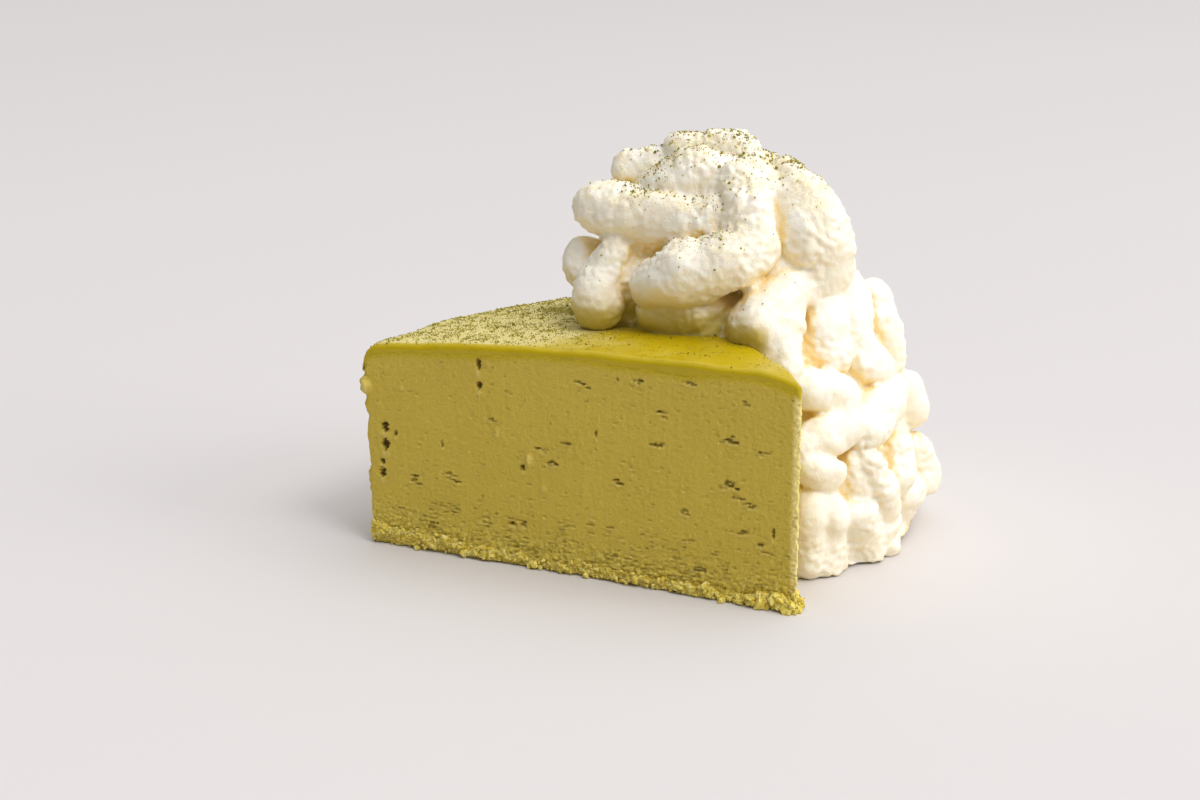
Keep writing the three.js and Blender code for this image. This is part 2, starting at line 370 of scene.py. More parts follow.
class Outline:
    """The slice seen from above, as steps from the tip round by the +X cut face."""

    def __init__(self, sizes):
        self.opening = sizes.opening
        closed = worn_wedge(sizes)
        travel = travelled(closed)
        # The -X cut face shows all over, so its points are closer than the rim's and the +X face's.
        from_tip = [0, 8 * MM, 12 * MM, sizes.cake_radius, travel[-1] - sizes.cake_radius, travel[-1]]
        spacing = sizes.detail * np.interp(travel, from_tip, [1, 1, 2.4, 2.0, 1.3, 1])
        steps = np.concatenate([[0], np.cumsum(np.diff(travel) / spacing[1:])])
        stops = np.interp(np.arange(round(steps[-1])) * steps[-1] / round(steps[-1]), steps, travel)
        self.place = np.stack([np.interp(stops, travel, closed[:, k]) for k in (0, 1)], 1)
        tangent = np.roll(self.place, -1, axis=0) - np.roll(self.place, 1, axis=0)
        tangent /= np.linalg.norm(tangent, axis=1)[:, None]
        self.normal = np.stack([tangent[:, 1], -tangent[:, 0]], 1)
        self.reach = np.linalg.norm(self.place, axis=1)
        turn = np.arctan2(self.place[:, 1], self.place[:, 0]) - QUARTER
        self.side = np.clip(turn / (sizes.opening / 2), -1, 1)
        self.rimward = ease(self.reach, sizes.cake_radius - 1.6 * MM, sizes.cake_radius - 0.2 * MM)
        # The way along the outline is 0 at the tip and grows on the +X face, and is negative
        # on the -X face, where it is the distance back from the tip.
        self.along = np.where(stops > travel[-1] / 2, stops - travel[-1], stops)
        self.place[:, 1] -= sizes.tip_to_middle

    def tuck(self, depth):
        """An inset that stays inside the narrow tip, for rows that turn in under a neighbour."""
        return -np.minimum(depth, 0.3 * self.reach * math.sin(self.opening / 2))

    def stack(self, out, height):
        """Points at offsets out of the outline and at heights, each one row after the other."""
        flat = self.place[None] + self.normal[None] * out[..., None]
        return np.concatenate([flat, height[..., None]], axis=2).reshape(-1, 3)

    def band_faces(self, rows):
        """The faces of a band that stands on the outline."""
        return tube_faces(rows, len(self.place))


def box_shell(steps):
    """A box's surface as shares of its three sides, and its quads."""
    number = np.full([step + 1 for step in steps], -1)
    shell = np.zeros(number.shape, bool)
    shell[[0, -1]] = True
    shell[:, [0, -1]] = True
    shell[:, :, [0, -1]] = True
    number[shell] = np.arange(shell.sum())
    faces = []
    for axis in range(3):
        for end in (0, -1):
            sheet = np.take(number, end, axis=axis)
            corners = [sheet[:-1, :-1], sheet[1:, :-1], sheet[1:, 1:], sheet[:-1, 1:]]
            if (end == -1) != (axis != 1):
                corners.reverse()
            faces += np.stack(corners, -1).reshape(-1, 4).tolist()
    return np.argwhere(shell) / np.array(steps), faces


def wedge_points(sizes, reach, side, out, height):
    """Points of the slice, with out measured square to the cut faces."""
    bearing = QUARTER + side * sizes.opening / 2
    outward = np.sign(side) * out
    x = reach * np.cos(bearing) - outward * np.sin(bearing)
    y = reach * np.sin(bearing) + outward * np.cos(bearing) - sizes.tip_to_middle
    return np.stack([x, y, height], 1)


# ---------------------------------------------------------------- finishes


class Value:
    """A socket that Python's arithmetic turns into Math nodes."""

    def __init__(self, finish, socket):
        self.finish = finish
        self.socket = socket

    def math(self, operation, *others, clamp=False):
        """The outcome of a Math node on this value and others."""
        settings = {"operation": operation, "use_clamp": clamp}
        sockets = dict(enumerate((self, *others)))
        return self.finish.add("ShaderNodeMath", settings, sockets)

    def __add__(self, other):
        return self.math("ADD", other)

    __radd__ = __add__

    def __sub__(self, other):
        return self.math("SUBTRACT", other)

    def __rsub__(self, other):
        return self.finish.add("ShaderNodeMath", {"operation": "SUBTRACT"}, {0: other, 1: self})

    def __mul__(self, other):
        return self.math("MULTIPLY", other)

    __rmul__ = __mul__

    def clamped(self):
        """The value kept within 0 and 1."""
        return self.math("ADD", 0.0, clamp=True)

    def between(self, start, end):
        """0 below start and 1 above end, turning smoothly between them."""
        sockets = {0: self, 1: start, 2: end, 3: 0.0, 4: 1.0}
        return self.finish.add(
            "ShaderNodeMapRange", {"interpolation_type": "SMOOTHSTEP"}, sockets
        )


class Nodes:
    """A node tree that is put together step by step, with one kind of place for its textures."""

    def __init__(self, tree, place):
        self.tree = tree
        self.place = self.add("ShaderNodeTexCoord", out=place)

    def add(self, kind, settings=None, sockets=None, out=0):
        """Add a node, set its settings and then its sockets, and give one of its outputs."""
        node = self.tree.nodes.new(kind)
        for name, setting in (settings or {}).items():
            setattr(node, name, setting)
        for name, value in (sockets or {}).items():
            if isinstance(value, Value):
                self.tree.links.new(value.socket, node.inputs[name])
            else:
                node.inputs[name].default_value = value
        return Value(self, node.outputs[out]) if node.outputs else None

    def attribute(self, name):
        """A number that the mesh holds for each of its points."""
        return self.add("ShaderNodeAttribute", {"attribute_name": name}, out="Fac")

    def stretched(self, *scale):
        """The place on the piece with each direction scaled."""
        return self.add(
            "ShaderNodeVectorMath", {"operation": "MULTIPLY"}, {0: self.place, 1: scale}
        )

    def grain(self, size, detail=2.0, roughness=0.5, place=None):
        """Soft noise from 0 to 1 with lumps of a size in metres."""
        sockets = {
            "Vector": place or self.place, "Scale": 1 / size, "Detail": detail,
            "Roughness": roughness,
        }
        return self.add("ShaderNodeTexNoise", None, sockets, out="Fac")

    def blend(self, factor, first, second):
        """The first colour where the factor is 0 and the second where it is 1."""
        return self.add(
            "ShaderNodeMix", {"data_type": "RGBA"}, {0: factor, 6: first, 7: second}, out=2
        )

    def bumps(self, height, distance, strength=1.0):
        """A normal that shows heights from 0 to 1 over a distance in metres."""
        return self.add(
            "ShaderNodeBump", None,
            {"Height": height, "Distance": distance, "Strength": strength},
        )


class Finish(Nodes):
    """A material that is put together from nodes."""

    def __init__(self, name):
        self.material = bpy.data.materials.new(name)
        self.material.use_nodes = True
        self.material.node_tree.nodes.clear()
        super().__init__(self.material.node_tree, "Object")

    def surface(self, **sockets):
        """End the material with one Principled shader."""
        named = {name.replace("_", " "): value for name, value in sockets.items()}
        shader = self.add("ShaderNodeBsdfPrincipled", {"subsurface_method": "RANDOM_WALK"}, named)
        self.add("ShaderNodeOutputMaterial", None, {"Surface": shader})
        return self.material


def cheesecake_finish(shades):
    """Soft, matt, fine-grained cheesecake, with painted shade in its pores and cracks, a painted
    highlight on its tip edge and pore lips, and greener below the glaze.
    """
    finish = Finish("cheesecake_cut")
    broad = finish.grain(16 * MM, 2.0)
    fine = finish.grain(0.7 * MM, 3.0, 0.6)
    streak = finish.grain(1 * MM, place=finish.stretched(1, 1, 0.06))
    tone = 0.55 * broad + 0.3 * fine + 0.15 * streak
    body = finish.blend(tone.clamped(), toned(shades.cheesecake, 0.84), shades.cheesecake)
    flecks = finish.grain(1.2 * MM, 2.0, 0.6).between(0.66, 0.76)
    # Painted highlight on the tip edge and on the lips under the pores, with the pale torn flakes.
    pale_flakes_and_painted_highlight = finish.attribute("pale_flakes_and_painted_highlight") * finish.grain(0.5 * MM, 2.0, 0.7).between(0.25, 0.5)
    pale = flecks * 0.35 + pale_flakes_and_painted_highlight
    body = finish.blend(pale.clamped(), body, shades.cheesecake_pale)
    near_base = finish.attribute("near_base")
    body = finish.blend(near_base * 0.5, body, shades.crumb)
    crumbs = near_base * finish.grain(0.6 * MM).between(0.4, 0.7)
    body = finish.blend(crumbs * 0.5, body, shades.crumb_pale)
    body = finish.blend(finish.attribute("near_glaze"), body, shades.glaze)
    # Painted shade in the pores, darker where they are deeper, and in the cracks.
    body = finish.blend(finish.attribute("painted_pore_shade"), body, shades.painted_pore_shade)
    relief = 0.4 * fine + 0.4 * finish.grain(0.35 * MM, 2.0, 0.6) + 0.2 * streak
    return finish.surface(
        Base_Color=body,
        Roughness=0.5 + 0.2 * fine,
        Subsurface_Weight=0.25,
        Subsurface_Radius=(1.0, 0.75, 0.25),
        Subsurface_Scale=1.6 * MM,
        Specular_IOR_Level=0.3,
        Normal=finish.bumps(relief, 0.45 * MM, 1.0),
    )


def crumb_finish(shades):
    """Rough crumbs, each of its own tone, with random dark patches of painted shade."""
    finish = Finish("crumb_layer")
    tone = finish.grain(1.1 * MM, 3.0, 0.7)
    body = finish.blend(tone.between(0.35, 0.68), shades.crumb, shades.crumb_pale)
    # Painted shade: random dark patches for the shade between the crumbs.
    shade = finish.grain(0.8 * MM, 2.0, 0.6).between(0.52, 0.7)
    body = finish.blend(shade * 0.6, body, toned(shades.crumb, 0.45))
    return finish.surface(
        Base_Color=body,
        Roughness=0.8,
        Subsurface_Weight=0.15,
        Subsurface_Radius=(1.0, 0.8, 0.3),
        Subsurface_Scale=1.2 * MM,
        Specular_IOR_Level=0.35,
        Normal=finish.bumps(finish.grain(0.45 * MM, 3.0, 0.7), 0.2 * MM, 0.9),
    )


def glaze_finish(shades):
    """A green skin, glossy where it is bare and pale and matt under the powder."""
    finish = Finish("matcha_glaze")
    dusting = finish.attribute("dusting")
    speckle = finish.grain(0.35 * MM, 3.0, 0.75)
    clumps = finish.grain(4 * MM, 2.0)
    cover = (dusting * 1.1 + (speckle - 0.5) * 0.4 + (clumps - 0.5) * 0.5).between(0.1, 0.8)
    tone = finish.grain(9 * MM, 2.0)
    skin = finish.blend(tone, toned(shades.glaze, 0.8), shades.glaze)
    body = finish.blend(cover, skin, shades.powder)
    body = finish.blend(finish.attribute("wrinkle") * 0.6, body, shades.grain_dark)
    relief = 0.7 * finish.grain(0.5 * MM, 2.0, 0.7) * cover + 0.15 * tone
    return finish.surface(
        Base_Color=body,
        Roughness=0.3 + 0.5 * cover,
        Subsurface_Weight=0.2,
        Subsurface_Radius=(1.0, 0.8, 0.2),
        Subsurface_Scale=1.2 * MM,
        Specular_IOR_Level=0.35,
        Normal=finish.bumps(relief, 0.15 * MM, 0.7),
    )


def powder_finish(name, shades):
    """Dry tea powder, from dark to light grains."""
    finish = Finish(name)
    tone = finish.attribute("tone")
    body = finish.blend(tone, shades.grain_dark, shades.grain_light)
    return finish.surface(Base_Color=body, Roughness=0.9, Specular_IOR_Level=0.2)


def cream_finish(shades):
    """Soft warm-white cream that light passes into, with painted shade on its undersides, a painted
    warm glow in its creases and painted green bounce and shadow by the glaze.
    """
    finish = Finish("whipped_cream")
    fine = finish.grain(0.9 * MM, 3.0, 0.6)
    broad = finish.grain(11 * MM, 1.0)
    warmer = toned(shades.cream, 0.99, 0.965, 0.91)
    body = finish.blend(broad.between(0.3, 0.7), shades.cream, warmer)
    clouds = finish.grain(6 * MM, 3.0, 0.7).between(0.35, 0.7)
    film = finish.attribute("film") * clouds * finish.grain(0.5 * MM, 2.0, 0.7).between(0.3, 0.6)
    body = finish.blend(film * 0.7, body, shades.powder)
    # Painted glow and shade: where the cream blocks most ways out of a point, it takes the warm crease
    # colour.
    painted_crease_glow = finish.attribute("painted_crease_glow").between(0.25, 0.85)
    # Painted shade on the down-facing sides of the cream.
    body = finish.blend(finish.attribute("painted_underside_shade") * 0.6, body, shades.cream_shade)
    body = finish.blend(painted_crease_glow * 0.7, body, shades.cream_painted_crease_glow)
    # Painted green bounce light from the glaze and painted contact shadow.
    painted_bounce_and_shadow = finish.attribute("painted_bounce_and_shadow")
    body = finish.blend(painted_bounce_and_shadow * (2 - painted_bounce_and_shadow) * 0.85, body, shades.cream_painted_bounce)
    relief = 0.6 * fine + 0.4 * finish.grain(0.4 * MM, 2.0)
    return finish.surface(
        Base_Color=body,
        Roughness=0.42 + 0.16 * fine,
        Subsurface_Weight=0.4,
        Subsurface_Radius=(1.0, 0.72, 0.36),
        Subsurface_Scale=1.6 * MM,
        Specular_IOR_Level=0.4,
        Normal=finish.bumps(relief, 0.35 * MM, 0.7),
    )


def floor_finish(shades):
    """A plain pale studio floor."""
    finish = Finish("studio_floor")
    tone = finish.grain(0.4, 1.0)
    return finish.surface(
        Base_Color=finish.blend(tone, toned(shades.floor, 0.985), shades.floor),
        Roughness=0.8,
        Specular_IOR_Level=0.2,
    )


# ---------------------------------------------------------------- the cheesecake

# Holes that show on the -X cut face, in millimetres: distance from the tip, height, width, tall.
CUT_HOLES = (
    (108, 30.5, 2, 2.6), (108, 26, 2.2, 3), (109, 21.5, 1.5, 1.6), (109, 18.5, 1.8, 2.6),
    (105, 29, 1, 1.4), (81.5, 49.5, 1.5, 3), (81.5, 44, 1.4, 2.4), (92, 28, 0.7, 1.8),
    (70, 25, 1.5, 1.5), (45, 50, 0.7, 1.2), (50.5, 36, 0.7, 1.8), (6, 18, 0.8, 2.4),
    (16.5, 28, 3, 0.9), (73, 10.5, 1.6, 1.2),
)

# Torn slits on that face, each a few short dashes side by side: the same four numbers.
CUT_SLITS = (
    (100, 18, 3.4, 2), (89, 20, 5, 2.6), (65, 30, 3.2, 1), (58.5, 32.5, 1.4, 0.8), (62, 27, 1.8, 1),
    (54, 47.5, 3.6, 1.6), (40, 50, 2, 0.8), (27, 51, 2.2, 0.8), (33, 43, 3.6, 2.4), (13, 48, 1.6, 0.8),
    (35, 35.5, 2.4, 0.8), (17.5, 39, 4.6, 1.8), (9, 36.5, 2.2, 1), (17, 28, 4.4, 2), (15, 25, 3, 1.4),
    (12, 24, 2.6, 1.2), (13, 17, 2.4, 1.4), (9, 15, 1.4, 1), (95, 7, 6, 1.6), (72, 11, 6, 1.6),
    (47, 6, 5, 1.4), (24, 6.5, 4, 1.4), (78, 36, 1.6, 0.8), (45, 25, 2, 1), (28, 20, 2.4, 1.2),
)

# Flakes that stand out, torn up by the knife: distance from the tip, height, half width, half
# height and how far each stands out, in millimetres, and then how pale it is.
TORN_FLAKES = (
    (113.6, 40.5, 2.2, 2.6, 1.7, 0.5), (68.2, 27.3, 1.1, 1.9, 0.6, 0.4),
    (76.9, 32.4, 0.9, 1.3, 0.3, 0.2), (64.4, 20.6, 1, 1.1, 0.3, 0.2), (103, 41, 0.8, 1, 0.2, 0.2),
)


def dashes(slit, rng):
    """The short shallow dashes that make up a torn slit."""
    middle, level, width, tall = slit
    for _ in range(round(3 + 0.9 * width)):
        yield (
            (-middle + rng.uniform(-0.45, 0.45) * width) * MM,
            (level + rng.uniform(-0.5, 0.5) * tall) * MM,
            rng.uniform(0.8, 2.4) * MM, rng.uniform(0.4, 0.85) * MM, rng.uniform(0.3, 0.8) * MM,
        )


SMALL_PORES = 1300
BASE_CRACKS = 900
TORN_PITS = 46


def scattered_pores(outline, rng):
    """Random small pores, cracks near the base and, on the +X half, torn pits."""
    first, last = outline.along.min(), outline.along.max()
    for _ in range(SMALL_PORES):
        height = (3 + 48 * rng.uniform() ** 1.5) * MM
        width = rng.uniform(0.5, 1.3) * MM
        yield (
            rng.uniform(first, last), height, width,
            rng.uniform(0.4, 0.75) * MM, rng.uniform(0.1, 0.35) * MM,
        )
    for _ in range(BASE_CRACKS):
        height = (2.5 + 11 * rng.uniform() ** 1.6) * MM
        yield (
            rng.uniform(first, last), height, rng.uniform(0.8, 2.8) * MM,
            rng.uniform(0.35, 0.6) * MM, rng.uniform(0.2, 0.48) * MM,
        )
    for _ in range(TORN_PITS):
        width = rng.uniform(1.4, 4) * MM
        yield (
            rng.uniform(4 * MM, last * 0.99), rng.uniform(8, 48) * MM, width,
            rng.uniform(0.9, 2.2) * MM, rng.uniform(0.9, 1.5) * MM,
        )


def all_pores(outline, rng):
    """Every hole, slit and pore, as along, height, width, tall and depth."""
    for reach, level, width, tall in CUT_HOLES:
        depth = 0.3 + 0.5 * min(width, tall)
        yield -reach * MM, level * MM, width * MM, tall * MM, depth * MM
    for slit in CUT_SLITS:
        yield from dashes(slit, rng)
    yield from scattered_pores(outline, rng)


def torn_flakes(along, height, torn):
    """How far the flakes stand out at each place, and how pale it is there."""
    relief, pale = np.zeros_like(along), np.zeros_like(along)
    for reach, level, wide, tall, out, paleness in TORN_FLAKES:
        away = np.hypot((along + reach * MM) / (wide * MM), (height - level * MM) / (tall * MM))
        flake = 1 - ease(away + 0.5 * torn, 0.3, 1.1)
        relief += out * MM * flake
        pale += paleness * flake
    return relief, pale


def pore_relief(along, height, pores):
    """How deep each place lies inside the pores, less the lip that stands up below each one."""
    flat = np.stack([along, height, np.zeros_like(along)], 1)
    ragged = 0.7 * rumple(flat, 0.7 * MM, seed=3)
    depth = np.zeros(len(along))
    lip = np.zeros(len(along))
    for middle, level, width, tall, deep in pores:
        near = np.flatnonzero((abs(along - middle) < width) & (abs(height - level) < 1.6 * tall))
        across = (along[near] - middle) / (width / 2)
        up = (height[near] - level) / (tall / 2)
        dip = deep * (1 - ease(np.hypot(across, up) + ragged[near], 0.65, 1.1))
        depth[near] = np.maximum(depth[near], dip)
        edge = 0.24 * MM * np.exp(-(across**2) - ((up + 1.6) / 0.6) ** 2)
        lip[near] = np.maximum(lip[near], edge * min(1, deep / (0.4 * MM)))
    return depth, lip


def cut_marks(flat, crumbly, at_tip):
    """Broad waves, upright knife marks and the fine peel of the cut surface."""
    waves = 0.14 * MM * rumple(flat, 14 * MM)
    knife = 0.05 * MM * rumple(flat * (1, 1, 0.05), 1.1 * MM, seed=1)
    peel = 0.17 * MM * rumple(flat, 0.9 * MM, seed=2) * (0.7 + crumbly + 1.4 * at_tip)
    return waves + knife + peel


def crumbling(flat, crumbly):
    """The rough surface near the crumbs, and how far each place is in one of its cracks."""
    flaky = rumple(flat * (1, 1, 2.4), 2.6 * MM, seed=4)
    cracks = np.exp(-((flaky / 0.07) ** 2)) * crumbly
    coarse = rumple(flat, 1.5 * MM, seed=5) + 0.6 * rumple(flat, 0.7 * MM, seed=10)
    return 0.3 * MM * (crumbly * coarse - cracks), cracks


def nicked(flat, along, crumbly, at_tip):
    """How far each place is in a small nick, more where the cheesecake crumbles and by the tip."""
    share = np.clip(0.35 + 0.8 * rumple(flat, 15 * MM, seed=8) + crumbly + at_tip, 0.1, 1.3)
    share += 0.5 * (1 - ease(abs(along), 14 * MM, 40 * MM))
    return ease(rumple(flat * (1, 1, 2.2), 1.5 * MM, seed=9), 0.3, 0.55) * share


def cheesecake_body(sizes):
    """The cheesecake between the crumbs and the glaze, with its pores and its torn rim."""
    outline = Outline(sizes)
    rng = np.random.default_rng(sizes.seed)
    low = crumb_top(sizes, outline.reach, outline.side) - 0.9 * MM
    high = glaze_underside(sizes, outline.reach, outline.side) + 0.25 * MM
    rows = round(50 * MM / (1.1 * sizes.detail))
    share = np.concatenate([[0], np.linspace(0, 1, rows + 1), [1]])[:, None]
    height = low + (high - low) * share

    flat = outline.stack(np.zeros_like(height), height)
    up = height.ravel()
    along = over_rows(outline.along, height)
    rim = over_rows(outline.rimward, height)
    below_glaze = (high - height).ravel()
    free = ease(below_glaze, 0.2 * MM, 2 * MM)
    above_base = (height - low).ravel() - 0.9 * MM
    crumbly = 1 - ease(above_base, 1 * MM, 8 * MM)
    at_tip = 1 - ease(abs(along), 1 * MM, 2.2 * MM)

    rough, cracks = crumbling(flat, crumbly)
    torn = rumple(flat * (1, 1, 1.3), 4.2 * MM, seed=6) + 0.5 * rumple(flat, 1.6 * MM, seed=7)
    rough += cut_marks(flat, crumbly, at_tip) + rim * sizes.rim_relief * (torn - 0.2)
    flakes, pale = torn_flakes(along, up, torn)
    depth, lip = pore_relief(along, up, all_pores(outline, rng))
    depth = np.maximum(depth, 0.22 * MM * nicked(flat, along, crumbly, at_tip))
    setback = rim * (rim_reach(sizes, outline.side, height).ravel() - sizes.cake_radius + 0.2 * MM)
    out = (rough + flakes + lip - depth) * free + setback
    out = out.reshape(height.shape)
    out[[0, -1]] = outline.tuck(3 * MM)
    points = outline.stack(out, height)
    # Painted shade: deeper in deeper pores, and a little in the cracks near the base.
    shade = ease(depth, 0.25 * MM, 1 * MM) + 0.15 * cracks
    fading = below_glaze + 0.3 * MM * rumple(flat, 2 * MM)
    return make_piece(
        "cheesecake_body", points, outline.band_faces(len(share)),
        {
            "painted_pore_shade": np.clip(shade, 0, 1) * free,
            "near_glaze": 1 - ease(fading, -0.2 * MM, 2.2 * MM),
            "near_base": crumbly,
            # Painted highlight on the tip edge and pore lips, and the paleness of the torn flakes.
            "pale_flakes_and_painted_highlight": np.clip(at_tip + pale + lip / (0.8 * MM), 0, 1),
        },
    )


CRUMB_ROWS = 38
CRUMB_LUMPS = 650
CRUMB_SPECKS = 8500


def crumb_lumps(outline, top, jut, near_tip, rng):
    """Loose lumps all along the band, one in five of them by the tip."""
    ball, sides = round_lump(1)
    for k in range(CRUMB_LUMPS):
        spot = rng.integers(len(outline.place)) if k % 5 else int(rng.normal(0, 20))
        spot %= len(outline.place)
        radius = (0.25 + 0.8 * rng.uniform() ** 2.5) * MM * (0.55 + 0.5 * near_tip[spot])
        level = top[spot] * rng.uniform(0.1, 1.0) + (rng.uniform() < 0.12) * rng.uniform(0, 2) * MM
        level = max(level, 0.6 * radius)
        offset = min(jut[spot], jut[spot] * (1.3 - level / (8 * MM))) + rng.uniform(-0.6, 0.3) * MM
        middle = outline.place[spot] + outline.normal[spot] * offset
        shape = 1 + 0.42 * rng.normal(size=(len(ball), 1)).clip(-1.4, 1.4)
        yield ball * shape * radius * rng.uniform(0.6, 1.4, 3) + (*middle, level), sides


def crumb_layer(sizes):
    """The band of crumbs under the cheesecake, standing a little out of its cut faces."""
    outline = Outline(sizes)
    rng = np.random.default_rng(sizes.seed + 1)
    turn = np.linspace(-QUARTER, QUARTER, CRUMB_ROWS)[:, None]
    out_share = np.cos(turn) ** 0.45
    up_share = 0.5 + 0.5 * np.sign(turn) * abs(np.sin(turn)) ** 0.6
    top = crumb_top(sizes, outline.reach, outline.side) + 0.2 * MM
    near_tip = 1.4 - 0.6 * ease(outline.reach, 8 * MM, 50 * MM)
    foot = outline.stack(np.zeros((1, len(top))), top[None])
    ragged = 0.8 * MM * rumple(foot, 5 * MM, seed=4)
    top = top + 0.3 * MM + 1.2 * MM * rumple(foot, 2.6 * MM, seed=6)
    jut = sizes.base_jut * near_tip * (1 - outline.rimward) - 1.2 * MM * outline.rimward + ragged
    inner = outline.tuck(3 * MM)
    out = inner + (jut - inner) * out_share
    height = top * up_share
    flat = outline.stack(out, height)
    lumps = 0.8 * curds(flat, 2.2 * MM) ** 0.6 + 0.5 * curds(flat, 1.0 * MM, seed=1) ** 0.6
    lumps += 0.35 * rumple(flat, 0.6 * MM, seed=3)
    swell = sizes.crumb_relief * (lumps + 0.5 * rumple(flat, 5 * MM, seed=2) - 0.75)
    facing = over_rows(np.clip(np.cos(turn), 0, 1), height)
    rising = over_rows(np.clip(np.sin(turn), 0, 1), height)
    points = outline.stack(out + (swell * facing).reshape(out.shape), height)
    points[:, 2] = np.clip(points[:, 2] + swell * rising * 0.8, 0, None)
    band = (points, outline.band_faces(len(turn)))
    lumps = list(crumb_lumps(outline, top, jut, near_tip, rng))

    chosen = rng.choice(np.flatnonzero(facing > 0.25), CRUMB_SPECKS)
    ways = outline.stack(np.ones_like(out), height) - outline.stack(np.zeros_like(out), height)
    radii = 0.19 * MM * rng.lognormal(0, 0.4, len(chosen))
    specks = grains(points[chosen], ways[chosen], radii, rng)
    points, faces = join_parts([band, *lumps, specks])
    points[:, 2] = np.clip(points[:, 2], 0, None)
    crumbs = make_piece("crumb_layer", points, faces)
    crumbs.data.shade_flat()
    return crumbs


def dusting_amount(sizes, points):
    """How thickly the powder lies on the glaze, from 0 to 1."""
    ahead = points[:, 1] + sizes.tip_to_middle
    reach = np.hypot(points[:, 0], ahead)
    turn = sizes.opening / 2 - abs(np.arctan2(points[:, 0], ahead))
    from_edge = reach * np.sin(np.clip(turn, 0, None))
    patches = 0.25 * rumple(points * (1, 1, 0), 13 * MM, seed=8)
    amount = 0.06 + 0.85 * ease(reach, 42 * MM, 86 * MM) + patches
    return np.clip(amount, 0, 1) * (0.1 + 0.9 * ease(from_edge, 0.4 * MM, 2.4 * MM))


# The wrinkled patch of glaze next to the cream, in millimetres: its middle and half its size.
WRINKLE_MIDDLE = (8.5, 15)
WRINKLE_SIZE = (6, 10)


def glaze_skin(sizes):
    """The thin green skin on top, with edges that the knife has rounded."""
    shares, faces = box_shell((210, 130, 6))
    along = shares[:, 0] ** 0.9
    across = 2 * shares[:, 1] - 1
    side = np.sign(across) * (1 - (1 - abs(across)) ** 1.5)
    first = 0.6 * sizes.blunt
    nominal = first + (sizes.cake_radius - first) * along
    low = glaze_underside(sizes, nominal, side)
    high = top_height(sizes, nominal)
    height = low + (high - low) * shares[:, 2]
    reach = nominal + (rim_reach(sizes, side, height) - sizes.cake_radius) * along**6
    half_width = nominal * math.sin(sizes.opening / 2)
    from_edge = half_width * (1 - abs(side))
    inside = np.clip(sizes.edge_round - from_edge, 0, sizes.edge_round)
    rounding = sizes.edge_round - np.sqrt(sizes.edge_round**2 - inside**2)
    height = height - rounding * shares[:, 2]
    flat = wedge_points(sizes, reach, side, np.zeros_like(reach), height)
    on_top = shares[:, 2] == 1
    dusting = dusting_amount(sizes, flat) * on_top
    close = np.linalg.norm((flat[:, :2] / MM - WRINKLE_MIDDLE) / WRINKLE_SIZE, axis=1)
    wrinkle = (1 - ease(close, 0.5, 1.1)) * on_top
    folds = abs(rumple(flat * (1, 0.5, 0), 1.9 * MM, seed=9))
    waves = 0.3 * MM * rumple(flat * (1, 1, 0), 11 * MM) + 0.1 * MM * rumple(flat, 3 * MM, seed=1)
    cut = (abs(side) == 1) | (shares[:, 0] == 0)
    out = 0.07 * MM * rumple(flat, 1.4 * MM, seed=2) * cut
    points = wedge_points(sizes, reach, side, out, height)
    points[:, 2] += waves * shares[:, 2] + (1.5 * folds - 0.4) * MM * wrinkle
    return make_piece(
        "glaze_skin", points, faces, {"dusting": dusting * (1 - wrinkle), "wrinkle": wrinkle}
    )


# ---------------------------------------------------------------- the whipped cream

